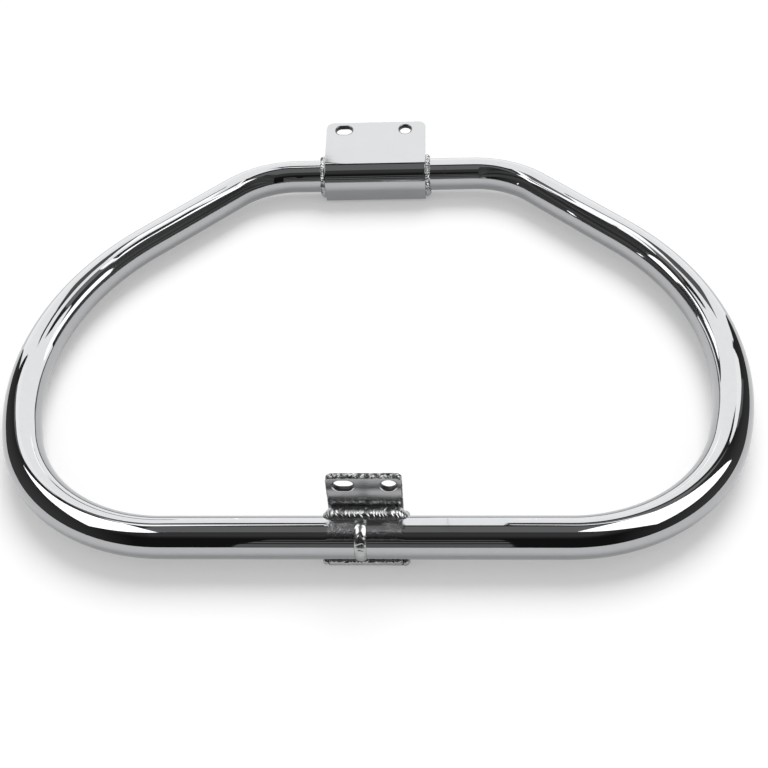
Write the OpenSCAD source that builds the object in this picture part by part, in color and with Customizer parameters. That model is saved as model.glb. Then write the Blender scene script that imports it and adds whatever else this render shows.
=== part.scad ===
// Motorcycle crash bars: one loop of bent steel tube with an upper and a lower mounting bracket.
// Millimetres. +X across the bike, +Y from the lower bar to the upper bar, +Z up off the floor.
// The loop lies flat, as in the photograph, and rests on the undersides of its two brackets.

/* [Tube] */
// Outside diameter of the tube
tube_od = 31.75; // [25:0.05:38.1]
// Wall thickness of the tube
tube_wall = 2.4; // [1.5:0.1:4]
// Width of the gap that the butt weld fills
root_gap = 1.2; // [0.8:0.1:2]
// Distance of the butt weld from the middle of the lower bar
seam_x = -1.6; // [-8:0.1:8]
// How much the bending draws in the tube's radius
draw_in = 0.1; // [0.1:0.05:0.4]

/* [Loop] */
// Straight length from the middle of the lower bar to its bend
lower_straight = 148.5; // [120:0.5:180]
// Centre-line radius of the lower side bend
lower_bend_r = 137; // [120:1:150]
// Angle of the lower side bend
lower_bend_angle = 72.3; // [66:0.1:78]
// Straight length between the two side bends
side_straight = 5; // [1:0.5:20]
// Centre-line radius of the upper side bend
side_bend_r = 249.5; // [225:0.5:275]
// Angle of the upper side bend
side_bend_angle = 61; // [56:0.1:66]
// Straight length of the sloping limb
slope_straight = 108; // [80:0.5:130]
// Centre-line radius of the bend into the upper bar
top_bend_r = 83; // [60:1:100]

/* [Bracket plates] */
// Thickness of both bent plates
plate_t = 5; // [4:0.1:6.5]
// Width of the chamfer round each hole
rim = 0.8; // [0.3:0.1:1.2]

/* [Upper bracket] */
// Width of the upper bracket along the tube
upper_w = 101.5; // [80:0.5:120]
// Distance of the upper bracket from the middle of the upper bar
upper_x = -9.4; // [-15:0.1:15]
// Length of the flat tab from the tube's crown to its far edge
upper_len = 54.5; // [50:0.5:70]
// Angle by which the tab's far edge is raised
upper_tilt = 12; // [0:0.5:15]
// Angle through which the plate wraps the tube
upper_wrap = 165; // [130:1:168]
// Radius of the tab's far corners
upper_corner_r = 7; // [3:0.5:9]
// Distance between the centres of the slot and the hole
upper_spacing = 62.6; // [50:0.1:70]
// Distance of the slot and the hole from the tab's far edge
upper_inset = 11; // [9:0.5:15]
// Distance of the middle of the slot and hole pair from the bracket's middle
upper_pair_x = -1.3; // [-5:0.1:5]
// Diameter of the hole
upper_hole_d = 11.4; // [10:0.1:12]
// Length of the slot from end to end
upper_slot_len = 16; // [13:0.5:18]
// Width of the slot
upper_slot_w = 10.8; // [10:0.1:12]

/* [Lower bracket] */
// Width of the lower bracket along the tube
lower_w = 54.8; // [50:0.2:70]
// Distance of the lower bracket from the middle of the lower bar
lower_x = 1.5; // [-5:0.1:5]
// Height of the standing plate above the tube's centre line
lower_len = 48.5; // [42:0.5:60]
// Angle through which the plate wraps the tube
lower_wrap = 130; // [100:1:140]
// Radius of the plate's upper corners
lower_corner_r = 5; // [2:0.5:8]
// Distance between the centres of the slot and the hole
lower_spacing = 32.4; // [28:0.1:36]
// Distance of the slot and the hole from the plate's upper edge
lower_inset = 9; // [8:0.5:13]
// Distance of the middle of the slot and hole pair from the bracket's middle
lower_pair_x = 1.5; // [-3:0.1:3]
// Diameter of the hole
lower_hole_d = 11; // [9:0.1:12]
// Length of the slot from end to end
lower_slot_len = 14.6; // [12:0.2:17]
// Width of the slot
lower_slot_w = 10.4; // [9:0.1:12]

/* [Welds] */
// Leg of the welds round the ends and along the edges of the plates
weld_leg = 4.2; // [3:0.1:4.8]
// Radius of the fat weld in the notch between a plate and the tube
notch_weld_r = 6.4; // [5.5:0.1:7]
// Width of the raised butt weld
seam_w = 8.8; // [6:0.2:12]
// Height of the raised butt weld above the tube
seam_h = 1.4; // [0.6:0.1:2]

/* [Hidden] */
$fn = 96;
tube_r = tube_od / 2;
plate_r = tube_r + plate_t;

// The loop's left half, walked from the middle of the lower bar to the upper bar
top_bend_angle = 180 - lower_bend_angle - side_bend_angle;
head_1 = 180 - lower_bend_angle;
head_2 = head_1 - side_bend_angle;

function ahead(p, head, len) = p + len * [cos(head), sin(head)];
function side(head) = [cos(head - 90), sin(head - 90)];

bend_1_start = ahead([0, 0], 180, lower_straight);
bend_1_hub = bend_1_start + lower_bend_r * side(180);
bend_1_end = bend_1_hub - lower_bend_r * side(head_1);
bend_2_start = ahead(bend_1_end, head_1, side_straight);
bend_2_hub = bend_2_start + side_bend_r * side(head_1);
bend_2_end = bend_2_hub - side_bend_r * side(head_2);
bend_3_start = ahead(bend_2_end, head_2, slope_straight);
bend_3_hub = bend_3_start + top_bend_r * side(head_2);
bend_3_end = bend_3_hub - top_bend_r * side(0);
top_straight = -bend_3_end[0];
top_y = bend_3_end[1];

// The part's box is centred on X and Y, and its lowest point is at Z = 0
near_y = -tube_r - seam_h;
far_y = top_y + upper_len * cos(upper_tilt) - tube_r * sin(upper_tilt);
mid_y = (near_y + far_y) / 2;
axis_z = plate_r;

// Circle that shapes the raised face of the butt weld
seam_r = (seam_w * seam_w / 4 + seam_h * seam_h) / (2 * seam_h);
// Angles on the lower bar at which the raised butt weld starts and ends
seam_from = 74;
seam_to = 360 - lower_wrap - 18;
// How far the butt weld is ground below the tube's surface where a bracket covers it
ground = 0.1;
// How far the welds at a plate's ends run past its notch weld and past its free edge
ring_lead = 58;
ring_tail = 12;
// Centre of the notch weld, across and above the tube's axis
notch_y = 10.2;
notch_z = 10.9;
// Cutters run this far past the faces they cut
past = 1;
// Each straight length runs this far into the bends at its ends
run_in = 0.5;

steel = [0.80, 0.81, 0.83];
weld_steel = [0.68, 0.69, 0.71];

// Straight rod from a point, along a heading in the loop's plane
module straight(p, head, len, r) {
  translate([p[0], p[1], 0])
    rotate([0, 90, head])
      cylinder(h = len, r = r);
}

// Straight rod between two bends, run a little way into both of them
module link(p, head, len, r) {
  straight(ahead(p, head, -run_in), head, len + 2 * run_in, r);
}

// Bent rod that ends on a heading after turning right, drawn in a little by the bending
module bend(hub, head_end, turn, bend_r, r) {
  translate([hub[0], hub[1], 0])
    rotate([0, 0, head_end + 90])
      rotate_extrude(angle = turn)
        translate([bend_r, 0])
          circle(r = r - draw_in);
}

// The bends and side lengths of the left half of the loop
module half_loop(r) {
  bend(bend_1_hub, head_1, lower_bend_angle, lower_bend_r, r);
  link(bend_1_end, head_1, side_straight, r);
  bend(bend_2_hub, head_2, side_bend_angle, side_bend_r, r);
  link(bend_2_end, head_2, slope_straight, r);
  bend(bend_3_hub, 0, top_bend_angle, top_bend_r, r);
}

// The whole loop as a rod, cut open by a gap in the lower bar
module loop_rod(r, gap) {
  straight([seam_x - gap / 2, 0], 180, lower_straight + seam_x - gap / 2 + run_in, r);
  straight([seam_x + gap / 2, 0], 0, lower_straight - seam_x - gap / 2 + run_in, r);
  half_loop(r);
  mirror([1, 0, 0])
    half_loop(r);
  link(bend_3_end, 0, 2 * top_straight, r);
}

module tube() {
  color(steel)
    translate([0, -mid_y, axis_z])
      difference() {
        loop_rod(tube_r, root_gap);
        loop_rod(tube_r - tube_wall, root_gap - 2 * past);
      }
}

// Turns a drawing of (across, up) so that it runs along the tube
module along_tube() {
  rotate([90, 0, 90])
    children();
}

// Places a bracket's shapes on the upper bar, with the tab's far edge raised
module on_upper_bar() {
  translate([0, top_y - mid_y, axis_z])
    rotate([upper_tilt, 0, 0])
      children();
}

// Places the same shapes on the lower bar, turned so that the plate stands up behind it
module on_lower_bar() {
  translate([0, -mid_y, axis_z])
    mirror([0, 1, -1])
      children();
}

// Flat outline of a plate with two rounded corners
module plate_outline(x, w, len, corner_r) {
  translate([x - w / 2, 0])
    square([w, len - corner_r]);
  translate([x - w / 2 + corner_r, len - corner_r - past])
    square([w - 2 * corner_r, corner_r + past]);
  for (s = [-1, 1])
    translate([x + s * (w / 2 - corner_r), len - corner_r])
      circle(r = corner_r);
}

// Flat plate that leaves the tube's crown and wraps down its near side
module hook_plate(x, w, len, wrap, corner_r) {
  translate([0, 0, tube_r])
    linear_extrude(height = plate_t)
      plate_outline(x, w, len, corner_r);
  along_tube()
    rotate([0, 0, 90])
      rotate_extrude(angle = wrap)
        translate([tube_r, x - w / 2])
          square([plate_t, w]);
}

// Cutter for a round hole with a chamfer on both faces
module hole_cut(x, y, d) {
  translate([x, y, tube_r]) {
    translate([0, 0, -past])
      cylinder(h = plate_t + 2 * past, d = d);
    translate([0, 0, -past])
      cylinder(h = rim + past, r1 = d / 2 + rim + past, r2 = d / 2);
    translate([0, 0, plate_t - rim])
      cylinder(h = rim + past, r1 = d / 2, r2 = d / 2 + rim + past);
  }
}

// Cutter for a slot along the tube with a chamfer on both faces
module slot_cut(x, y, len, w) {
  reach = (len - w) / 2;
  flare = rim + past;
  hole_cut(x - reach, y, w);
  hole_cut(x + reach, y, w);
  translate([x - reach, y, tube_r])
    along_tube()
      linear_extrude(height = 2 * reach)
        polygon([
          [-w / 2 - flare, -past], [w / 2 + flare, -past],
          [w / 2, rim], [w / 2, plate_t - rim],
          [w / 2 + flare, plate_t + past], [-w / 2 - flare, plate_t + past],
          [-w / 2, plate_t - rim], [-w / 2, rim]
        ]);
}

module upper_bracket() {
  color(steel)
    on_upper_bar()
      difference() {
        hook_plate(upper_x, upper_w, upper_len, upper_wrap, upper_corner_r);
        slot_cut(
          upper_x + upper_pair_x - upper_spacing / 2, upper_len - upper_inset,
          upper_slot_len, upper_slot_w
        );
        hole_cut(
          upper_x + upper_pair_x + upper_spacing / 2, upper_len - upper_inset,
          upper_hole_d
        );
      }
}

module lower_bracket() {
  color(steel)
    on_lower_bar()
      difference() {
        hook_plate(lower_x, lower_w, lower_len, lower_wrap, lower_corner_r);
        slot_cut(
          lower_x + lower_pair_x - lower_spacing / 2, lower_len - lower_inset,
          lower_slot_len, lower_slot_w
        );
        hole_cut(
          lower_x + lower_pair_x + lower_spacing / 2, lower_len - lower_inset,
          lower_hole_d
        );
      }
}

// Weld round the tube against one end of a plate; s is -1 for the left end and 1 for the right
module ring_weld(x, w, wrap, s) {
  end_x = x + s * w / 2;
  along_tube()
    rotate([0, 0, 90 - ring_lead])
      rotate_extrude(angle = ring_lead + wrap + ring_tail)
        intersection() {
          translate([tube_r, end_x])
            circle(r = weld_leg);
          translate([tube_r, s > 0 ? end_x : end_x - weld_leg])
            square([weld_leg, weld_leg]);
        }
}

// Fat weld in the notch between the flat plate and the tube
module notch_weld(x, w) {
  translate([x - w / 2, 0, 0])
    along_tube()
      linear_extrude(height = w)
        difference() {
          translate([notch_y, notch_z])
            circle(r = notch_weld_r);
          circle(r = tube_r);
          translate([0, tube_r])
            square(4 * notch_weld_r);
          translate([-4 * notch_weld_r, tube_r])
            square(4 * notch_weld_r);
        }
}

// Weld along the free edge of the wrapped plate
module edge_weld(x, w, wrap) {
  translate([x - w / 2, 0, 0])
    along_tube()
      linear_extrude(height = w)
        rotate(90 + wrap)
          difference() {
            translate([tube_r, 0])
              circle(r = weld_leg);
            circle(r = tube_r);
            translate([0, -2 * weld_leg])
              square([2 * tube_r, 2 * weld_leg]);
          }
}

module upper_left_weld() {
  color(weld_steel)
    on_upper_bar()
      ring_weld(upper_x, upper_w, upper_wrap, -1);
}

module upper_right_weld() {
  color(weld_steel)
    on_upper_bar()
      ring_weld(upper_x, upper_w, upper_wrap, 1);
}

module upper_notch_weld() {
  color(weld_steel)
    on_upper_bar()
      notch_weld(upper_x, upper_w);
}

module upper_edge_weld() {
  color(weld_steel)
    on_upper_bar()
      edge_weld(upper_x, upper_w, upper_wrap);
}

module lower_left_weld() {
  color(weld_steel)
    on_lower_bar()
      ring_weld(lower_x, lower_w, lower_wrap, -1);
}

module lower_right_weld() {
  color(weld_steel)
    on_lower_bar()
      ring_weld(lower_x, lower_w, lower_wrap, 1);
}

module lower_notch_weld() {
  color(weld_steel)
    on_lower_bar()
      notch_weld(lower_x, lower_w);
}

module lower_edge_weld() {
  color(weld_steel)
    on_lower_bar()
      edge_weld(lower_x, lower_w, lower_wrap);
}

// Butt weld: it fills the gap between the tube's ends, and is ground down where a bracket covers it
module seam_weld() {
  color(weld_steel)
    translate([seam_x, -mid_y, axis_z])
      along_tube()
        difference() {
          rotate_extrude()
            seam_section();
          rotate([0, 0, seam_to])
            rotate_extrude(angle = 360 - seam_to + seam_from)
              translate([tube_r - ground, -seam_w])
                square([4 * seam_h, 2 * seam_w]);
        }
}

// Section of the butt weld: a root in the gap under a low crown
module seam_section() {
  translate([tube_r - tube_wall, -root_gap / 2])
    square([tube_wall + seam_h / 2, root_gap]);
  intersection() {
    translate([tube_r + seam_h - seam_r, 0])
      circle(r = seam_r);
    translate([tube_r, -seam_w])
      square([2 * seam_h, 2 * seam_w]);
  }
}

tube();
seam_weld();
upper_bracket();
lower_bracket();
upper_left_weld();
upper_right_weld();
upper_notch_weld();
upper_edge_weld();
lower_left_weld();
lower_right_weld();
lower_notch_weld();
lower_edge_weld();
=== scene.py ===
"""Looks for the motorcycle crash bars: one smooth chromed tube, plates with rounded edges, rippled welds.

The scene is in metres in the part's own frame. Lengths are named in millimetres, as in the part's source.
"""

import math
import random

import bmesh
import bpy
from mathutils import Matrix, Vector


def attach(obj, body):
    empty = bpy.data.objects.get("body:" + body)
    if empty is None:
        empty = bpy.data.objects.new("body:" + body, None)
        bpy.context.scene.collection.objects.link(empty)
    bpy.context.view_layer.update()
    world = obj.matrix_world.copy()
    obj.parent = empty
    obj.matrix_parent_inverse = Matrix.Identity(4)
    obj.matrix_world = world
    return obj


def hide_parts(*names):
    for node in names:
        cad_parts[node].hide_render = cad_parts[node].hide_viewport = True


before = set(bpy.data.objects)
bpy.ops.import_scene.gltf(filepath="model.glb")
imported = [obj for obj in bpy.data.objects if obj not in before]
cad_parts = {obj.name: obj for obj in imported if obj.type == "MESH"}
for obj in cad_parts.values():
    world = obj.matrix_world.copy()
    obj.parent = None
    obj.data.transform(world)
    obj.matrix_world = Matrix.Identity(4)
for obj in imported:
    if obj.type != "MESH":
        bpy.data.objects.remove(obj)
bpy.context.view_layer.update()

MM = 0.001
WHITE = (1, 1, 1, 1)

# The tube and the loop that it is bent to. A bend is (radius, degrees), and draws the tube in a little. The
# lower straight is half the bar's
TUBE_R = 15.875
DRAW_IN = 0.1
LOWER_STRAIGHT = 148.5
LOWER_BEND = (137.0, 72.3)
SIDE_STRAIGHT = 5.0
SIDE_BEND = (249.5, 61.0)
SLOPE_STRAIGHT = 108.0
TOP_BEND = (83.0, 180.0 - LOWER_BEND[1] - SIDE_BEND[1])
LOOP_STEP = 3.0
EASE_REACH = 2
AROUND = 96

# The plates. length is the flat tab's, and wrap is the angle that the rest goes round the tube. corner is
# the radius of the tab's corners, and skirt the most that the wrap's lip stands off the tube. Each hole is
# (how far from the plate's middle, how far from the tab's end, length, width). lead is how far back from
# the crown the end welds start, as an angle. notch is the fillet between the tab and the tube: its centre
# and radius, how far it runs past the plate's sides, and how long and how blunt its ends taper
PLATE_T = 5.0
UPPER_TILT = 12.0
UPPER = dict(
    name="upper", x=-9.4, w=101.5, length=54.5, wrap=165.0, corner=7.0, skirt=4.0, lead=58.0,
    holes=((-32.6, 11.0, 16.0, 10.8), (30.0, 11.0, 11.4, 11.4)),
    notch=dict(at=(10.2, 10.9), r=6.4, past=0.0, taper=2.0, blunt=2.0),
)
LOWER = dict(
    name="lower", x=1.5, w=54.8, length=48.5, wrap=130.0, corner=5.0, skirt=0.0, lead=40.0,
    holes=((-14.7, 9.0, 14.6, 10.4), (17.7, 9.0, 11.0, 11.0)),
    notch=dict(at=(11.2, 10.5), r=7.8, past=3.6, taper=6.68, blunt=1.1),
)
# Where the lip leaves the tube, stands off it most and comes back to it, as angles from the crown
SKIRT_FROM, SKIRT_MOST, SKIRT_TO = math.radians(92), math.radians(124), math.radians(162)
# How a plate's edges, holes and corners are rounded, and the steps that they and the wrap are drawn in
EDGE_R = 0.8
HOLE_EDGE_R = 1.5
EDGE_STEPS = 4
LOW_CORNER_R = 1.2
LOW_CORNER_STEPS = 6
TAB_CORNER_STEPS = 12
HOLE_POINTS = 48
WRAP_STEP = 3.0
SLOPE_STEP = 0.01

# The welds. A ring weld's size is its mean, its lumps and its growth where the plate stands off the tube
WELD_LEG = 4.2
ROOT = 0.2
RING_TAIL = 12.0
RING_MEAN_R = TUBE_R + WELD_LEG * 0.4
RING_SIZE, RING_LUMPS, RING_GROWTH = 0.97, 0.045, 0.3
RING_LUMP_LENGTHS = (5, 11)
RING_ALONG = 1.02
RING_TAPERS = (11.0, 4.0)
EDGE_LEG = WELD_LEG * 0.97
NOTCH_END_AT, NOTCH_END_R = 0.8, 0.35
NOTCH_ROOT = (1.0, TUBE_R - 0.1)
SEAM_X = -1.6
SEAM_W = 8.8
SEAM_H = 1.4
SEAM_FROM, SEAM_TO = math.radians(74), math.radians(360 - LOWER["wrap"] - 18)
SEAM_ROOT = 1.5
SEAM_SINK = 0.05
SEAM_FLARE = 0.5
SEAM_SEED = 31
# How far apart a bead's rows lie, the steps across one, and the share of its size that it has at its ends
BEAD_STEP = 0.22
BEAD_ACROSS = 22
BEAD_END = 0.25

PLATE_MID = TUBE_R + PLATE_T / 2
AXIS_Z = TUBE_R + PLATE_T


def between(low, high, share):
    """The value that lies at a share of the way from low to high."""
    return low + (high - low) * share


def clamp(value):
    """A value kept from 0 to 1."""
    return min(max(value, 0.0), 1.0)


# The loop

def walk_half_loop(step):
    """Points on the centre line from the middle of the lower bar to the middle of the upper bar.

    Each is (place, bent), where bent is 1 in a bend and 0 in a straight.
    """
    place, heading = Vector((0.0, 0.0)), math.pi
    points = [(place, 0.0)]

    def run(length):
        nonlocal place
        count = max(2, round(length / step))
        along = Vector((math.cos(heading), math.sin(heading)))
        for i in range(1, count + 1):
            points.append((place + along * length * i / count, 0.0))
        place = place + along * length

    def turn(radius, degrees):
        nonlocal place, heading
        angle = math.radians(degrees)
        count = max(4, round(radius * angle / step))
        hub = place + radius * Vector((math.sin(heading), -math.cos(heading)))
        for i in range(1, count + 1):
            h = heading - angle * i / count
            points.append((hub + radius * Vector((-math.sin(h), math.cos(h))), 1.0))
        heading -= angle
        place = points[-1][0]

    run(LOWER_STRAIGHT)
    turn(*LOWER_BEND)
    run(SIDE_STRAIGHT)
    turn(*SIDE_BEND)
    run(SLOPE_STRAIGHT)
    turn(*TOP_BEND)
    run(-place.x)
    return points


HALF = walk_half_loop(LOOP_STEP)
TOP_Y = HALF[-1][0].y
TILT = math.radians(UPPER_TILT)
NEAR_Y = -TUBE_R - SEAM_H
FAR_Y = TOP_Y + UPPER["length"] * math.cos(TILT) - TUBE_R * math.sin(TILT)
MID_Y = (NEAR_Y + FAR_Y) / 2

# Each bracket is drawn as (x, across, up) round its bar's centre line, as in the part's source. The lower
# one's drawing swaps across and up, which turns its faces inside out
UPPER["place"] = Matrix.Translation((0, TOP_Y, 0)) @ Matrix.Rotation(TILT, 4, "X")
UPPER["mirrored"] = False
LOWER["place"] = Matrix(((1, 0, 0, 0), (0, 0, 1, 0), (0, 1, 0, 0), (0, 0, 0, 1)))
LOWER["mirrored"] = True


def in_frame(p):
    """A point in millimetres of the loop's own drawing, as metres in the part's frame."""
    return Vector((p[0], p[1] - MID_Y, p[2] + AXIS_Z)) * MM


def new_piece(name, verts, faces, node, normals=None, uvs=None):
    """Makes a mesh piece from points in metres, hangs it on the root body, and hides the part of model.glb
    that it stands for.
    """
    mesh = bpy.data.meshes.new(name)
    mesh.from_pydata([tuple(v) for v in verts], [], faces)
    mesh.update()
    if uvs is not None:
        layer = mesh.uv_layers.new(name="along")
        for loop in mesh.loops:
            layer.data[loop.index].uv = uvs[loop.index]
    mesh.shade_smooth()
    if normals is not None:
        mesh.normals_split_custom_set_from_vertices([tuple(n) for n in normals])
    piece = bpy.data.objects.new(name, mesh)
    bpy.context.scene.collection.objects.link(piece)
    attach(piece, "root")
    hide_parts(node)
    return piece


# The tube

def full_loop():
    """The closed centre line, once round, with the bends' flag eased over a few millimetres."""
    ring = HALF + [(Vector((-p.x, p.y)), bent) for p, bent in reversed(HALF[1:-1])]
    count = len(ring)
    eased = []
    for i, (p, _) in enumerate(ring):
        near = [ring[(i + k) % count][1] for k in range(-EASE_REACH, EASE_REACH + 1)]
        eased.append((p, sum(near) / len(near)))
    return eased


def build_tube():
    """The bent tube as one closed sweep, so that its reflections run on without a step."""
    ring = full_loop()
    count = len(ring)
    verts, normals, faces, uvs = [], [], [], []
    lengths = [0.0]
    for i in range(1, count + 1):
        lengths.append(lengths[-1] + (ring[i % count][0] - ring[i - 1][0]).length)
    up = Vector((0, 0, 1))
    for i, (p, bent) in enumerate(ring):
        # the direction follows the points, so both halves turn the same way round
        ahead = (ring[(i + 1) % count][0] - ring[i - 1][0]).normalized()
        out = Vector((-ahead.y, ahead.x, 0))
        r = TUBE_R - DRAW_IN * bent
        for k in range(AROUND):
            a = math.tau * k / AROUND
            n = out * math.cos(a) + up * math.sin(a)
            verts.append(in_frame(Vector((p.x, p.y, 0)) + n * r))
            normals.append(n)
    for i in range(count):
        here, ahead = i * AROUND, (i + 1) % count * AROUND
        v0, v1 = lengths[i] * MM, lengths[i + 1] * MM
        for k in range(AROUND):
            m = (k + 1) % AROUND
            faces.append((here + k, here + m, ahead + m, ahead + k))
            u0, u1 = k / AROUND, (k + 1) / AROUND
            uvs += [(u0, v0), (u1, v0), (u1, v1), (u0, v1)]
    return new_piece("tube_chromed", verts, faces, "tube", normals, uvs)


# The plates

# The materials of a plate's faces: its flats, its outer edge, inside a hole, and a hole's rim in front.
# Inside a hole is painted near-black as shade; a hole's rim has painted shade on the upper plate and a
# painted highlight on the lower
FACE, RIM, BORE, LIP = 0, 1, 2, 3
LIP_ROWS = 2


def skirt(spec, a):
    """How far a wrapped plate stands off the tube at an angle from its crown. Its lower lip is straight."""
    if a < SKIRT_MOST:
        return spec["skirt"] * clamp((a - SKIRT_FROM) / (SKIRT_MOST - SKIRT_FROM)) ** 2
    return spec["skirt"] * clamp((SKIRT_TO - a) / (SKIRT_TO - SKIRT_MOST))


def edge_profile(edge_r):
    """(inset, height, turn) round a plate's edge, from its upper face to its lower one."""
    upper = []
    for i in range(EDGE_STEPS + 1):
        a = math.pi / 2 * i / EDGE_STEPS
        height = PLATE_T / 2 - edge_r * (1 - math.cos(a))
        upper.append((edge_r * (1 - math.sin(a)), height, math.pi / 2 - a))
    return upper + [(inset, -height, -turn) for inset, height, turn in reversed(upper)]


def corner_arc(hub_x, hub_y, radius, start, steps):
    """A quarter turn anticlockwise from a start angle, as (point, outward direction)."""
    arc = []
    for i in range(steps + 1):
        a = start + math.pi / 2 * i / steps
        point = Vector((hub_x + radius * math.cos(a), hub_y + radius * math.sin(a)))
        arc.append((point, Vector((math.cos(a), math.sin(a)))))
    return arc


def plate_outline(spec):
    """Outline of a flat plate, anticlockwise, as (point, outward direction), and the steps in its wrap.

    The tab lies at s > 0, and the part that wraps the tube lies at s < 0, laid out flat.
    """
    reach = math.radians(spec["wrap"]) * PLATE_MID
    wraps = round(spec["wrap"] / WRAP_STEP)
    cuts = [-reach * i / wraps for i in range(wraps)]
    right, left = spec["x"] + spec["w"] / 2, spec["x"] - spec["w"] / 2
    low, low_s = LOW_CORNER_R, -reach + LOW_CORNER_R
    corner, corner_s = spec["corner"], spec["length"] - spec["corner"]
    outline = corner_arc(right - low, low_s, low, -math.pi / 2, LOW_CORNER_STEPS)
    outline += [(Vector((right, s)), Vector((1, 0))) for s in reversed(cuts)]
    outline += corner_arc(right - corner, corner_s, corner, 0, TAB_CORNER_STEPS)
    outline += corner_arc(left + corner, corner_s, corner, math.pi / 2, TAB_CORNER_STEPS)
    outline += [(Vector((left, s)), Vector((-1, 0))) for s in cuts]
    outline += corner_arc(left + low, low_s, low, math.pi, LOW_CORNER_STEPS)
    return outline, wraps


def hole_outline(cx, cy, length, width):
    """Outline of a round hole or a slot, clockwise: (point, direction out of the metal)."""
    r, reach = width / 2, (length - width) / 2
    outline = []
    for i in range(HOLE_POINTS):
        a = -math.tau * i / HOLE_POINTS
        # the two points halfway along a slot's sides stay in its middle
        side = 0 if i % (HOLE_POINTS // 2) == HOLE_POINTS // 4 else math.copysign(1, math.cos(a))
        point = Vector((cx + side * reach + r * math.cos(a), cy + r * math.sin(a)))
        outline.append((point, Vector((-math.cos(a), -math.sin(a)))))
    return outline


def edge_rows(loop, edge_r):
    """Points and directions down a loop's rounded edge, row by row, on the flat plate."""
    points, directions = [], []
    for inset, height, turn in edge_profile(edge_r):
        for p, out in loop:
            q = p - out * inset
            points.append(Vector((q.x, q.y, height)))
            directions.append(Vector((out.x * math.cos(turn), out.y * math.cos(turn), math.sin(turn))))
    return points, directions


def side_faces(flat, rings, wraps):
    """Faces over one side of a flat plate, from the rings of point numbers of its outline and its holes.

    They are strips across the wrapped part, one out to the free edge, and the tab filled round its holes.
    """
    outline = rings[0]
    low = LOW_CORNER_STEPS + 1
    right = outline[low:low + wraps]
    left = outline[-low - 1:-low - 1 - wraps:-1]
    faces = [(right[i], right[i + 1], left[i + 1], left[i]) for i in range(wraps - 1)]
    faces.append(tuple(outline[:low + 1] + outline[-low - 1:]))
    tab = outline[low + wraps - 1:-(low + wraps - 1)]
    bm = bmesh.new()
    made = {}
    edges = []
    for ring in [tab] + rings[1:]:
        for k in ring:
            made[k] = bm.verts.new(flat[k])
        for a, b in zip(ring, ring[1:] + ring[:1]):
            edges.append(bm.edges.new((made[a], made[b])))
    number = {vert: k for k, vert in made.items()}
    bmesh.ops.triangle_fill(bm, use_beauty=True, edges=edges)
    for face in bm.faces:
        faces.append(tuple(number[vert] for vert in face.verts))
    bm.free()
    return faces


def runs_anticlockwise(points):
    """Whether flat points run anticlockwise, seen from above."""
    return sum(a.x * b.y - b.x * a.y for a, b in zip(points, points[1:] + points[:1])) > 0


def bend_on(spec, p, out):
    """A flat plate's point and direction, bent on to the tube. The tab stays flat, and the rest wraps."""
    if p.y >= 0:
        return Vector((p.x, p.y, PLATE_MID + p.z)), out
    a = -p.y / PLATE_MID
    r = PLATE_MID + p.z + skirt(spec, a)
    slope = (skirt(spec, a + SLOPE_STEP) - skirt(spec, a - SLOPE_STEP)) / (2 * SLOPE_STEP)
    b = a - math.atan(slope / r)
    out_y = out.y * math.cos(b) - out.z * math.sin(b)
    out_z = out.y * math.sin(b) + out.z * math.cos(b)
    return Vector((p.x, -r * math.sin(a), r * math.cos(a))), Vector((out.x, out_y, out_z))


def build_plate(name, spec):
    """A thick plate with rounded edges and holes, bent from its tab round the tube."""
    outline, wraps = plate_outline(spec)
    loops = [outline]
    for off_x, inset, length, width in spec["holes"]:
        loops.append(hole_outline(spec["x"] + off_x, spec["length"] - inset, length, width))
    flat, flat_out, faces, kinds, starts = [], [], [], [], []
    last_row = 2 * EDGE_STEPS + 1
    for loop in loops:
        start, n = len(flat), len(loop)
        starts.append(start)
        points, directions = edge_rows(loop, EDGE_R if loop is outline else HOLE_EDGE_R)
        flat += points
        flat_out += directions
        for row in range(last_row):
            from_front = last_row - 1 - row if spec["mirrored"] else row
            in_hole = LIP if from_front < LIP_ROWS else BORE
            a0, b0 = start + row * n, start + (row + 1) * n
            for k in range(n):
                m = (k + 1) % n
                faces.append((a0 + k, b0 + k, b0 + m, a0 + m))
                kinds.append(RIM if loop is outline else in_hole)
    for top, row in ((True, 0), (False, last_row)):
        rings = []
        for start, loop in zip(starts, loops):
            rings.append([start + row * len(loop) + k for k in range(len(loop))])
        for face in side_faces(flat, rings, wraps):
            faces.append(face if runs_anticlockwise([flat[k] for k in face]) == top else face[::-1])
            kinds.append(FACE)
    verts, normals = [], []
    turned = spec["place"].to_3x3()
    for p, out in zip(flat, flat_out):
        q, direction = bend_on(spec, p, out)
        verts.append(in_frame(spec["place"] @ q))
        normals.append((turned @ direction).normalized())
    if spec["mirrored"]:
        faces = [face[::-1] for face in faces]
    piece = new_piece(name, verts, faces, spec["name"] + "_bracket", normals)
    for face, kind in zip(piece.data.polygons, kinds):
        face.material_index = kind
    return piece


# The welds

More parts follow.
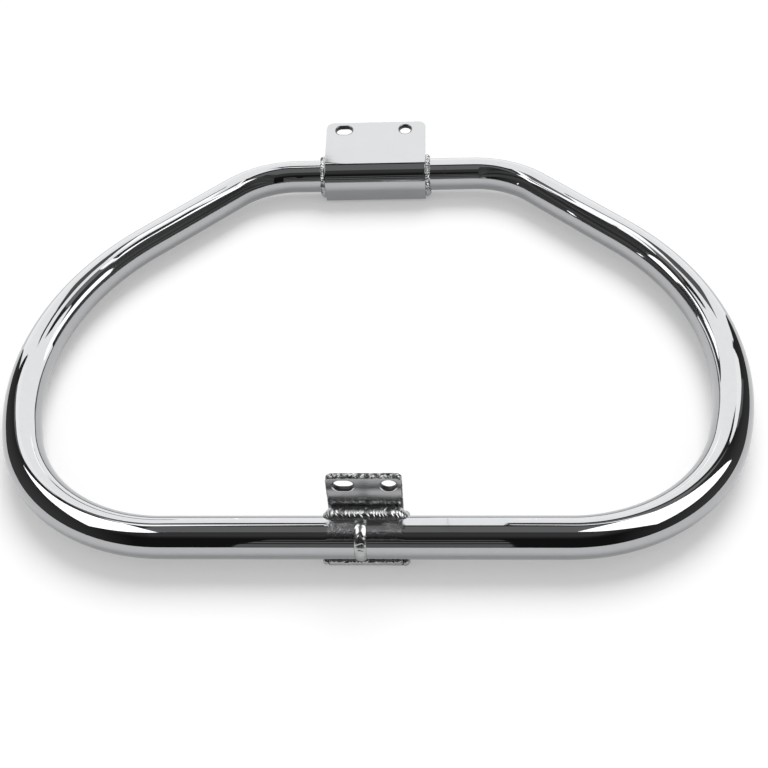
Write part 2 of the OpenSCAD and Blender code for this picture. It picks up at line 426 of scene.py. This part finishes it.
class Ripples:
    """The stacked scales of a weld bead: heights along its length, different from scale to scale."""

    # How many scales there are before they repeat, and which of them the bead starts with
    SCALES = 400
    FIRST = 50
    # The spacing drifts along the bead: (share of the pitch, radians in a pitch, most radians at its start)
    DRIFT = (0.5, 0.9, 6)
    # The scales' fronts sway: (millimetres, radians across half the bead, radians in a millimetre)
    SWAY = (0.4, 5, 0.6)
    # The shares of a scale that rise and fall, and how far its crest and its middle lie off their places
    RISE, FALL = 0.8, 0.2
    CREST_OFF, MIDDLE_OFF = 0.12, 0.15

    def __init__(self, seed, pitch, height, bow, uneven):
        dice = random.Random(seed)
        self.pitch, self.height, self.bow, self.uneven = pitch, height, bow, uneven
        self.scales = [[dice.uniform(-1, 1) for _ in range(3)] for _ in range(self.SCALES)]

    def at(self, s, t):
        """Height at a distance s along the bead, and t from -1 to 1 across it."""
        drift, drift_rate, drift_start = self.DRIFT
        sway, sway_across, sway_along = self.SWAY
        turn = s / self.pitch * drift_rate + self.scales[0][0] * drift_start
        drifted = drift * self.pitch * math.sin(turn)
        swayed = sway * math.sin(t * sway_across + s * sway_along)
        phase = (s + drifted + swayed - self.bow * t * t) / self.pitch + self.FIRST
        which = math.floor(phase)
        part = phase - which
        tall, wide, tip = self.scales[which % self.SCALES]
        part = clamp(part + self.CREST_OFF * tip * math.sin(math.pi * part))
        rise = math.sin(math.pi * min(part / self.RISE, 1) / 2)
        fall = 1 - max(0.0, (part - self.RISE) / self.FALL) ** 2
        across = max(0.0, 1 - abs(t + self.MIDDLE_OFF * wide) ** 3)
        return self.height * (1 + self.uneven * tall) * rise * fall * across


def round_tube(x, side, a):
    """A section's place where it runs round the tube, at an angle. Its axes: along the tube, and outward."""
    return Matrix(((side, 0, 0, x), (0, math.cos(a), 0, 0), (0, math.sin(a), 0, 0), (0, 0, 0, 1)))


def along_tube(x, a):
    """A section's place where it runs along the tube. Its axes: outward at an angle, and round the tube."""
    out = (math.cos(a), -math.sin(a), 0, 0)
    return Matrix(((0, 0, 1, x), out, (math.sin(a), math.cos(a), 0, 0), (0, 0, 0, 1)))


def bead(name, node, length, spot, section, root, ripples, mirrored,
         swell=None, tapers=(2.0, 2.0), blunt=2.0):
    """A weld bead swept along its path, tapered at both ends.

    spot(s) gives the section's place at a distance along the path. section(t, size) gives a point and an
    outward direction in its plane, for t from -1 to 1. root is the point inside the metal that closes it.
    """
    count = max(8, round(length / BEAD_STEP))
    verts, faces = [], []
    for i in range(count + 1):
        s = length * i / count
        near_end = min(s / tapers[0], (length - s) / tapers[1], 1.0)
        ease = max(0.0, 1 - (1 - near_end) ** blunt) ** (1 / blunt)
        place = spot(s)
        size = (swell(s) if swell else 1.0) * between(BEAD_END, 1, ease)
        for k in range(BEAD_ACROSS + 1):
            t = -1 + 2 * k / BEAD_ACROSS
            p, out = section(t, size)
            q = p + out * (ripples.at(s, t) * ease)
            verts.append(in_frame(place @ Vector((q.x, q.y, 0))))
        verts.append(in_frame(place @ Vector((*root, 0))))
    span = BEAD_ACROSS + 2
    for i in range(count):
        for k in range(span):
            a, b = i * span + k, i * span + (k + 1) % span
            faces.append((a, a + span, b + span, b))
    faces.append(tuple(range(span)))
    faces.append(tuple(count * span + k for k in reversed(range(span))))
    if mirrored:
        faces = [face[::-1] for face in faces]
    return new_piece(name, verts, faces, node)


def ring_bead(spec, end, seed):
    """The fillet round the tube against one end of a plate, left or right."""
    side = -1 if end == "left" else 1
    end_x = spec["x"] + side * spec["w"] / 2
    lead = math.radians(spec["lead"])
    arc = math.radians(spec["lead"] + spec["wrap"] + RING_TAIL)
    lumps = random.Random(seed)
    waves = [(lumps.uniform(0, math.tau), lumps.uniform(*RING_LUMP_LENGTHS)) for _ in range(3)]

    def spot(s):
        return spec["place"] @ round_tube(end_x, side, math.pi / 2 - lead + s / RING_MEAN_R)

    def section(t, size):
        a = math.pi / 4 * (t + 1)
        out = Vector((math.sin(a), math.cos(a)))
        leg = WELD_LEG * size
        return Vector((leg * out.x * RING_ALONG, TUBE_R + leg * out.y)), out

    def swell(s):
        stand_off = skirt(spec, s / RING_MEAN_R - lead) / WELD_LEG
        lumpy = sum(math.sin(s / wavelength * math.tau + start) for start, wavelength in waves)
        return RING_SIZE + RING_LUMPS * lumpy + RING_GROWTH * stand_off

    return bead(
        "%s_%s_bead" % (spec["name"], end), "%s_%s_weld" % (spec["name"], end), arc * RING_MEAN_R,
        spot, section, (-ROOT, TUBE_R - ROOT), Ripples(seed, pitch=2.7, height=0.75, bow=1.6, uneven=0.45),
        mirrored=(side < 0) != spec["mirrored"], swell=swell, tapers=RING_TAPERS,
    )


def notch_bead(spec, seed):
    """The fat fillet in the notch between a plate's flat and the tube. It may run past the plate's sides."""
    notch = spec["notch"]
    (cy, cz), r, past = notch["at"], notch["r"], notch["past"]
    left = spec["x"] - spec["w"] / 2 - past

    # where the fillet meets the plate's face, and where it meets the tube
    top = Vector((cy + math.sqrt(r * r - (TUBE_R - cz) ** 2), TUBE_R))
    gap = math.hypot(cy, cz)
    toward = Vector((cy, cz)) / gap
    reach = (gap * gap + TUBE_R ** 2 - r * r) / (2 * gap)
    aside = math.sqrt(max(0.0, TUBE_R ** 2 - reach * reach))
    foot = toward * reach + Vector((toward.y, -toward.x)) * aside
    a_top = math.atan2(top.y - cz, top.x - cy)
    a_foot = math.atan2(foot.y - cz, foot.x - cy)

    def spot(s):
        return spec["place"] @ along_tube(left + s, 0)

    def section(t, size):
        a = between(a_foot, a_top, (t + 1) / 2)
        out = Vector((math.cos(a), math.sin(a)))
        middle = Vector((cy, cz)) * between(NOTCH_END_AT, 1, size)
        return middle + out * r * between(NOTCH_END_R, 1, size), out

    return bead(
        spec["name"] + "_notch_bead", spec["name"] + "_notch_weld", spec["w"] + 2 * past,
        spot, section, NOTCH_ROOT, Ripples(seed, pitch=2.6, height=0.45, bow=4.5, uneven=0.6),
        mirrored=spec["mirrored"], tapers=(notch["taper"], notch["taper"]), blunt=notch["blunt"],
    )


def edge_bead(spec, seed):
    """The fillet along the free edge of a wrapped plate."""
    left = spec["x"] - spec["w"] / 2

    def spot(s):
        return spec["place"] @ along_tube(left + s, math.radians(90 + spec["wrap"]))

    def section(t, size):
        a = math.pi / 4 * (t + 1)
        out = Vector((math.cos(a), math.sin(a)))
        leg = EDGE_LEG * size
        return Vector((TUBE_R + leg * out.x, leg * out.y)), out

    return bead(
        spec["name"] + "_edge_bead", spec["name"] + "_edge_weld", spec["w"],
        spot, section, (TUBE_R - ROOT, -ROOT), Ripples(seed, pitch=3.3, height=0.6, bow=1.4, uneven=0.4),
        mirrored=spec["mirrored"],
    )


def seam_bead():
    """The raised butt weld round the lower bar."""
    mean_r = TUBE_R + SEAM_H

    def spot(s):
        return round_tube(SEAM_X, 1, SEAM_FROM + s / mean_r)

    def section(t, size):
        out = Vector((SEAM_FLARE * t, 1)).normalized()
        return Vector((SEAM_W / 2 * t, TUBE_R - SEAM_SINK + SEAM_H * (1 - t * t) * size)), out

    return bead(
        "seam_bead", "seam_weld", (SEAM_TO - SEAM_FROM) * mean_r,
        spot, section, (0, TUBE_R - SEAM_ROOT),
        Ripples(SEAM_SEED, pitch=4.6, height=0.28, bow=2.6, uneven=0.5), mirrored=True,
    )


def plate_beads(spec, left_seed, right_seed, notch_seed, edge_seed):
    """The four welds of a bracket."""
    return [
        ring_bead(spec, "left", left_seed),
        ring_bead(spec, "right", right_seed),
        notch_bead(spec, notch_seed),
        edge_bead(spec, edge_seed),
    ]


# Materials

class Nodes:
    """Shorthands for building a material or a world out of nodes."""

    def __init__(self, owner):
        self.owner = owner
        owner.use_nodes = True
        self.tree = owner.node_tree
        self.tree.nodes.clear()

    def feed(self, socket, value):
        """Gives a socket its value: another node's output, or a number or colour."""
        if hasattr(value, "is_output"):
            self.tree.links.new(value, socket)
        else:
            socket.default_value = value

    def add(self, kind, **values):
        """A new node, with its sockets and settings by name. In a socket's name _ stands for a space."""
        node = self.tree.nodes.new(kind)
        for key, value in values.items():
            label = key.replace("_", " ")
            if label in node.inputs:
                self.feed(node.inputs[label], value)
            else:
                setattr(node, key, value)
        return node

    def math(self, operation, a, b=0.0):
        node = self.add("ShaderNodeMath", operation=operation)
        self.feed(node.inputs[0], a)
        self.feed(node.inputs[1], b)
        return node.outputs[0]

    def off(self, value, middle):
        """How far a value is from a middle one."""
        return self.math("ABSOLUTE", self.math("SUBTRACT", value, middle))

    def spread(self, value, low, high, start=0.0, end=1.0, interpolation="LINEAR"):
        """Takes a value's range start..end to low..high."""
        values = dict(Value=value, From_Min=start, From_Max=end, To_Min=low, To_Max=high)
        return self.add("ShaderNodeMapRange", interpolation_type=interpolation, **values).outputs[0]

    def place(self):
        return self.add("ShaderNodeTexCoord").outputs["Object"]

    def split(self, place):
        """A point's X, Y and Z."""
        return self.add("ShaderNodeSeparateXYZ", Vector=place).outputs

    def noise(self, where, scale, detail=2.0):
        return self.add("ShaderNodeTexNoise", Vector=where, Scale=scale, Detail=detail).outputs["Fac"]

    def stretch(self, where, factors):
        node = self.add("ShaderNodeVectorMath", operation="MULTIPLY")
        self.feed(node.inputs[0], where)
        self.feed(node.inputs[1], factors)
        return node.outputs[0]

    def bump(self, height, distance, under=None):
        node = self.add("ShaderNodeBump", Height=height, Distance=distance)
        if under is not None:
            self.feed(node.inputs["Normal"], under)
        return node.outputs[0]

    def output(self, shader, kind="ShaderNodeOutputMaterial"):
        """Makes a shader the surface, and gives back the finished material or world."""
        self.add(kind, Surface=shader)
        return self.owner


# The noises that chrome plate shows, as (scale, detail), and how streaks are stretched: on the tube round it
# and along it, and on a plate in x, y and z
HAZE_NOISE, WAVE_NOISE, GRAIN_NOISE, LUMP_NOISE, HEAT_NOISE = (60, 3), (28, 1), (900, 3), (380, 2), (420, 4)
HAZE_LOW, HAZE_HIGH = 0.7, 1.4
TUBE_STREAKS = (26, 9, 0)
PLATE_STREAKS = (14, 330, 330)
# Where the heated zone begins and ends to fade: millimetres past the plate's side, shares of the tube's
# radius up from its axis, and millimetres across from the axis
HEAT_SIDE, HEAT_RISE, HEAT_ACROSS = (-2.0, 1.5), (0.72, 0.93), (14.0, 18.0)
HEAT_HAZE = 0.2
HEAT_BUMP = 0.0004
DISH_FROM, DISH_TO = 18.0, 38.0


def weld_zone(n, place):
    """1 beside the lower plate's notch weld, where the heat spoilt the polish, fading to 0 away from it."""
    x, y, z = n.split(place)
    sides = [(LOWER["w"] / 2 + past) * MM for past in HEAT_SIDE]
    rises = [(AXIS_Z + TUBE_R * share) * MM for share in HEAT_RISE]
    acrosses = [across * MM for across in HEAT_ACROSS]
    near_x = n.spread(n.off(x, LOWER["x"] * MM), 1.0, 0.0, *sides)
    above = n.spread(z, 0.0, 1.0, *rises)
    near_y = n.spread(n.off(y, -MID_Y * MM), 1.0, 0.0, *acrosses)
    return n.math("MULTIPLY", n.math("MULTIPLY", near_x, above), near_y)


def chrome(name, tint, roughness, wave, grain, streak=0.0, lumps=0.0, mottle=0.06, patch=30, patch_edge=0.0,
           on_tube=False, dished=0.0):
    """Chrome plate: slow waves of the steel under it, polishing streaks along it, fine grain and faint haze.

    wave, grain, streak, lumps and dished are heights in metres. The tube is spoilt by heat beside a weld. A
    cut edge has lumps, and sharp-edged dark and light patches in its colour that are painted reflections of
    its facets. The lower plate's face is a little dished across its height.
    """
    n = Nodes(bpy.data.materials.new(name))
    place = n.place()
    haze = n.spread(n.noise(place, *HAZE_NOISE), roughness * HAZE_LOW, roughness * HAZE_HIGH)
    shade = n.spread(n.noise(place, patch, 3), 0.0, 1.0, patch_edge, 1 - patch_edge)
    normal = n.bump(n.noise(place, *WAVE_NOISE), wave)
    if streak:
        if on_tube:
            where = n.stretch(n.add("ShaderNodeUVMap", uv_map="along").outputs[0], TUBE_STREAKS)
        else:
            where = n.stretch(place, PLATE_STREAKS)
        normal = n.bump(n.noise(where, 1, 3), streak, normal)
    if on_tube:
        zone = weld_zone(n, place)
        haze = n.math("ADD", haze, n.math("MULTIPLY", zone, HEAT_HAZE))
        normal = n.bump(n.math("MULTIPLY", zone, n.noise(place, *HEAT_NOISE)), HEAT_BUMP, normal)
    if lumps:
        normal = n.bump(n.noise(place, *LUMP_NOISE), lumps, normal)
    if dished:
        low, high = (AXIS_Z + DISH_FROM) * MM, (AXIS_Z + DISH_TO) * MM
        fall = n.spread(n.split(place)["Z"], 1.0, 0.0, low, high, "SMOOTHSTEP")
        normal = n.bump(fall, dished, normal)
    normal = n.bump(n.noise(place, *GRAIN_NOISE), grain, normal)
    mix = n.add("ShaderNodeMix", data_type="RGBA")
    n.feed(mix.inputs["A"], (*tint, 1))
    n.feed(mix.inputs["B"], (*(c * (1 - mottle) for c in tint), 1))
    n.feed(mix.inputs["Factor"], shade)
    colour = mix.outputs["Result"]
    metal = n.add("ShaderNodeBsdfPrincipled", Base_Color=colour, Metallic=1.0, Roughness=haze,
                  Normal=normal)
    return n.output(metal.outputs[0])


def dress(piece, *materials):
    """Gives a piece its materials, in the order of its faces' material numbers."""
    for material in materials:
        piece.data.materials.append(material)


def build_object():
    """The tube, the two brackets and the welds, with what each is made of."""
    tube = build_tube()
    upper_plate = build_plate("upper_plate", UPPER)
    lower_plate = build_plate("lower_plate", LOWER)
    beads = plate_beads(UPPER, 3, 7, 11, 13) + plate_beads(LOWER, 17, 19, 23, 29) + [seam_bead()]

    tint = (0.425, 0.43, 0.44)
    tube_chrome = chrome("tube_chrome", tint, roughness=0.03, wave=5e-5, grain=6e-7, streak=1.2e-5,
                         patch=140, on_tube=True)
    upper_chrome = chrome("upper_chrome", tint, roughness=0.06, wave=6e-5, grain=1.2e-6, streak=1e-5)
    lower_chrome = chrome("lower_chrome", (0.5, 0.505, 0.515), roughness=0.2, wave=8e-4, grain=3e-6,
                          streak=1e-5, mottle=0.15, dished=0.0022)
    weld_chrome = chrome("weld_chrome", (0.55, 0.555, 0.56), roughness=0.24, wave=2e-4, grain=2e-5,
                         lumps=8e-5, mottle=0.35)
    # The cut edge's sharp dark and light patches are painted reflections of its facets; its lumps are real
    cut_edge_painted_facets = chrome("cut_edge_chrome", (0.46, 0.465, 0.47), roughness=0.12, wave=4e-4, grain=4e-5,
                      lumps=0.0012, mottle=0.85, patch=330, patch_edge=0.44)
    # The inside of the holes: near-black painted shade
    bore = chrome("bore_painted_shade", (0.06, 0.06, 0.062), roughness=0.4, wave=1e-4, grain=1e-5, mottle=0.3)
    # The upper plate's hole rims: dull, and painted darker as shade
    dull_shaded_lip = chrome("dull_hole_lip_painted_shade", (0.20, 0.20, 0.205), roughness=0.3, wave=1e-4, grain=1e-5, mottle=0.3)
    # The lower plate's hole rims: a painted highlight
    lip_highlight = chrome("hole_lip_painted_highlight", (0.62, 0.625, 0.63), roughness=0.16, wave=1e-4, grain=1e-5,
                        mottle=0.2)
    dress(tube, tube_chrome)
    dress(upper_plate, upper_chrome, upper_chrome, bore, dull_shaded_lip)
    dress(lower_plate, lower_chrome, cut_edge_painted_facets, bore, lip_highlight)
    for one in beads:
        dress(one, weld_chrome)


# The studio

# Where the photograph was taken from, in the loop's drawing
FOCAL_PX = 1067.0
IMAGE_PX = 768.0
SENSOR_W = 36.0
PITCH, YAW, ROLL = math.radians(45.749), math.radians(-4.802), math.radians(3.898)
CAMERA_AT = (60.69, -457.73, 631.14)

# The room and the floor, in metres. The room's glow grows overhead and at its sides, between two shares of
# its radius
ROOM_R = 2.6
FLOOR_HALF = 20.0
ROOM_CUT = -0.01
OVERHEAD_FROM, OVERHEAD_TO = 0.67, 0.79
OVERHEAD_LOW, OVERHEAD_HIGH = 0.013, 0.05
SIDES_FROM, SIDES_TO = 0.45, 1.0
SIDES_HIGH = 0.07
FLOOR_GREY = (0.8, 0.8, 0.8, 1)
FLOOR_LIFT = 0.25

# Soft light from all round, and a wide key from behind and above
ROUND_LEVEL = 0.5
KEY_LEVEL = 0.5
KEY_ELEVATION = math.radians(50)
KEY_TURN = math.radians(172)
KEY_SIZE = math.radians(40)

# The flag's streaks slant so that they run along the sloping limbs that mirror it
STREAK_SLANT = math.radians(49)
STREAK_SCALE = (1, 4, 26)
STREAK_FROM, STREAK_TO = 0.35, 0.7
STREAK_LOW, STREAK_HIGH = 0.03, 0.16

# Where the cards stand
WALL_Y = 1126
STAND_Y = -1200
STAND_LEFT, STAND_RIGHT = -330, 180
ROOF_Z = 1500
COVER_Z = ROOF_Z + 10
LOW_Z = 150
SLIP_X = 150


def streaks(n):
    """The flag's glow, in streaks."""
    turned = n.add("ShaderNodeMapping", Vector=n.place(), Rotation=(STREAK_SLANT, 0, 0), Scale=STREAK_SCALE)
    return n.spread(n.noise(turned.outputs[0], 1, 3), STREAK_LOW, STREAK_HIGH, STREAK_FROM, STREAK_TO)


def room_glow(n):
    """The room's glow, a little lighter overhead and at its sides."""
    x, _, z = n.split(n.place())
    overhead = n.spread(z, OVERHEAD_LOW, OVERHEAD_HIGH, OVERHEAD_FROM * ROOM_R, OVERHEAD_TO * ROOM_R)
    sides = n.spread(n.math("ABSOLUTE", x), 0.0, SIDES_HIGH, SIDES_FROM * ROOM_R, SIDES_TO * ROOM_R)
    return n.math("ADD", overhead, sides)


def glow(name, radiance):
    """A light of its own. Its radiance is a number, or a function that works it out with nodes."""
    n = Nodes(bpy.data.materials.new(name))
    level = radiance(n) if callable(radiance) else radiance
    light = n.add("ShaderNodeEmission", Color=WHITE, Strength=level)
    return n.output(light.outputs[0])


def seen_or_mirrored(n):
    """1 for rays from the camera, from gloss and through glass, else 0."""
    path = n.add("ShaderNodeLightPath")
    total = path.outputs["Is Camera Ray"]
    for kind in ("Is Glossy Ray", "Is Transmission Ray"):
        total = n.math("MAXIMUM", total, path.outputs[kind])
    return total


def stage_object(name, mesh, material, reflected_only):
    """Puts a mesh on the stage. A card or a room is seen in reflections alone."""
    mesh.materials.append(material)
    obj = bpy.data.objects.new(name, mesh)
    bpy.context.scene.collection.objects.link(obj)
    if reflected_only:
        obj.visible_camera = False
        obj.visible_diffuse = False
        obj.visible_shadow = False
        obj.visible_volume_scatter = False


def polygon(name, corners):
    """A mesh of one face, from its corners in metres."""
    mesh = bpy.data.meshes.new(name)
    mesh.from_pydata([tuple(c) for c in corners], [], [tuple(range(len(corners)))])
    return mesh


def upright(x, *corners):
    """Corners (y, z) on the upright plane at x."""
    return [(x, y, z) for y, z in corners]


def facing(y, *corners):
    """Corners (x, z) on the upright plane at y."""
    return [(x, y, z) for x, z in corners]


def level_at(z, *corners):
    """Corners (x, y) on the level plane at z."""
    return [(x, y, z) for x, y in corners]


def slat(low, high):
    """Corners of a slat in front, from one height to another."""
    return facing(STAND_Y, (STAND_LEFT, low), (STAND_RIGHT, low), (STAND_RIGHT, high), (STAND_LEFT, high))


def cards():
    """The studio's cards: each one's name, its radiance and its corners in the loop's drawing."""
    return [
        # The wall behind the upper bar, with its upper corners cut off, and the slope that goes on from it
        ("back_wall", 1.8, facing(
            WALL_Y, (-1300, -15), (1020, -15), (1020, 600), (600, 1100), (-600, 1100), (-1300, 600))),
        ("back_roof", 1.8, (
            (-190, WALL_Y, 1100), (190, WALL_Y, 1100), (190, 875, ROOF_Z), (-190, 875, ROOF_Z))),
        # Two wings beside the slope, bright in front and dim behind
        ("right_wing", 2.4, ((200, 940, 1375), (520, 800, 1385), (700, 600, 1400), (200, 880, 1400))),
        ("left_wing", 2.4, ((-200, 975, 1370), (-760, 860, 1370), (-620, 620, 1400), (-200, 900, 1400))),
        ("right_wing_back", 0.3, (
            (200, 1100, 1330), (900, 1100, 1330), (700, 600, 1400), (520, 800, 1385), (200, 940, 1375))),
        ("left_wing_back", 0.3, (
            (-200, 1100, 1330), (-900, 1100, 1330), (-760, 860, 1370), (-200, 975, 1370))),
        # The dim roof, dimmer in front
        ("roof", 0.25, level_at(COVER_Z, (-600, 640), (600, 640), (700, -245), (-700, -245))),
        ("roof_front", 0.075, level_at(COVER_Z, (-700, -245), (700, -245), (700, -900), (-700, -900))),
        # The light boxes at both sides, and the far cards behind them with their soft edges
        ("left_box", 3.2, ((-1184, 690, 1000), (-716, 720, 1446), (-535, -258, 1412), (-1095, -444, 939))),
        ("right_box", 3.2, ((520, 690, 1500), (359, -155, 1503), (1001, -548, 739), (1330, 390, 640))),
        ("left_far", 1.9, (
            (-1030, 980, 1200), (-1050, 1150, 1205), (-1210, 1290, 1090), (-1150, 1400, 1170),
            (-600, 1750, 1690), (-800, 1250, 1440), (-880, 1000, 1330))),
        ("right_far", 1.9, (
            (1010, 1010, 1100), (1200, 1190, 930), (1250, 1350, 890),
            (668, 1750, 1600), (800, 1200, 1340), (900, 1000, 1200))),
        ("left_far_edge", 0.25, (
            (-1030, 980, 1200), (-1100, 920, 1120), (-1330, 1240, 970),
            (-1210, 1290, 1090), (-1050, 1150, 1205))),
        ("right_far_edge", 0.2, (
            (1010, 1010, 1100), (1080, 930, 1010), (1215, 920, 863), (1400, 1190, 740), (1200, 1190, 930))),
        # A dark flag in the camera's own plane. The bars see it edge on, and it keeps each sloping limb from
        # seeing the box across from it
        ("flag", streaks, upright(CAMERA_AT[0], (60, 40), (430, 40), (430, 330), (330, 760), (60, 900))),
        # Slips and low cards for the small lights on the shoulders
        ("left_slip", 3.0, upright(
            -SLIP_X, (286, 42), (295, 42), (302, 66), (307, 86), (298, 86), (293, 66))),
        ("right_slip", 3.0, upright(
            SLIP_X, (306, 64), (314, 64), (323, 88), (333, 114), (325, 114), (315, 88))),
        ("left_low", 2.4, level_at(LOW_Z, (-250, 447), (-150, 505), (-135, 450), (-243, 381))),
        ("right_low", 2.4, level_at(LOW_Z, (238, 441), (150, 480), (130, 430), (230, 377))),
        ("left_low_end", 0.17, level_at(LOW_Z, (-330, 400), (-250, 447), (-243, 381), (-300, 345))),
        ("right_low_end", 0.2, level_at(LOW_Z, (330, 400), (238, 441), (230, 377), (300, 340))),
        ("left_line", 0.1, level_at(LOW_Z, (-330, 400), (-150, 505), (-156, 522), (-336, 417))),
        ("right_line", 0.1, level_at(LOW_Z, (330, 400), (150, 480), (156, 497), (336, 417))),
        # Dim slats in front, one above the other
        ("stand_0", 0.19, slat(-15, 430)),
        ("stand_1", 0.2, slat(540, 720)),
        ("stand_2", 0.14, slat(860, 1060)),
    ]


def add_cards():
    for name, radiance, corners in cards():
        mesh = polygon(name, [in_frame(c) for c in corners])
        stage_object(name, mesh, glow(name, radiance), reflected_only=True)


def add_room():
    """A dark dome round the cards."""
    bm = bmesh.new()
    bmesh.ops.create_uvsphere(bm, u_segments=48, v_segments=24, radius=ROOM_R)
    bmesh.ops.delete(bm, geom=[v for v in bm.verts if v.co.z < ROOM_CUT], context="VERTS")
    mesh = bpy.data.meshes.new("dark_room")
    bm.to_mesh(mesh)
    bm.free()
    stage_object("dark_room", mesh, glow("dark_room", room_glow), reflected_only=True)


def add_floor():
    """A pale floor that takes the shadow, lifted to white where the camera or a reflection sees it."""
    n = Nodes(bpy.data.materials.new("floor"))
    diffuse = n.add("ShaderNodeBsdfDiffuse", Color=FLOOR_GREY)
    lift = n.add("ShaderNodeEmission", Strength=n.math("MULTIPLY", seen_or_mirrored(n), FLOOR_LIFT))
    both = n.add("ShaderNodeAddShader")
    n.feed(both.inputs[0], diffuse.outputs[0])
    n.feed(both.inputs[1], lift.outputs[0])
    signs = ((-1, -1), (1, -1), (1, 1), (-1, 1))
    mesh = polygon("floor", [(x * FLOOR_HALF, y * FLOOR_HALF, 0) for x, y in signs])
    stage_object("floor", mesh, n.output(both.outputs[0]), reflected_only=False)


def light_world():
    """White light from all round, full where the camera or a reflection sees it, and less on the floor."""
    world = bpy.data.worlds.new("studio")
    bpy.context.scene.world = world
    n = Nodes(world)
    level = n.spread(seen_or_mirrored(n), ROUND_LEVEL, 1.0)
    back = n.add("ShaderNodeBackground", Color=WHITE, Strength=level)
    n.output(back.outputs[0], "ShaderNodeOutputWorld")


def add_key():
    """The key: a wide sun, which the metal doesn't mirror."""
    data = bpy.data.lights.new("key", "SUN")
    data.angle = KEY_SIZE
    data.energy = KEY_LEVEL * math.pi / math.sin(KEY_ELEVATION)
    key = bpy.data.objects.new("key", data)
    key.rotation_euler = (math.pi / 2 - KEY_ELEVATION, 0, KEY_TURN)
    key.visible_glossy = False
    bpy.context.scene.collection.objects.link(key)


def add_camera():
    """The camera, looking down at the loop and rolled a little, as in the photograph."""
    forward = Vector((math.sin(YAW) * math.cos(PITCH), math.cos(YAW) * math.cos(PITCH), -math.sin(PITCH)))
    level = Vector((math.cos(YAW), -math.sin(YAW), 0))
    steep = forward.cross(level)
    right = level * math.cos(ROLL) + steep * math.sin(ROLL)
    down = steep * math.cos(ROLL) - level * math.sin(ROLL)
    turned = Matrix((right, -down, -forward)).transposed().to_4x4()
    data = bpy.data.cameras.new("camera")
    data.sensor_width = SENSOR_W
    data.lens = FOCAL_PX / IMAGE_PX * SENSOR_W
    camera = bpy.data.objects.new("camera", data)
    bpy.context.scene.collection.objects.link(camera)
    camera.matrix_world = Matrix.Translation(in_frame(CAMERA_AT)) @ turned
    bpy.context.scene.camera = camera


build_object()
add_cards()
add_room()
add_floor()
light_world()
add_key()
add_camera()
bpy.context.scene.view_settings.view_transform = "Standard"
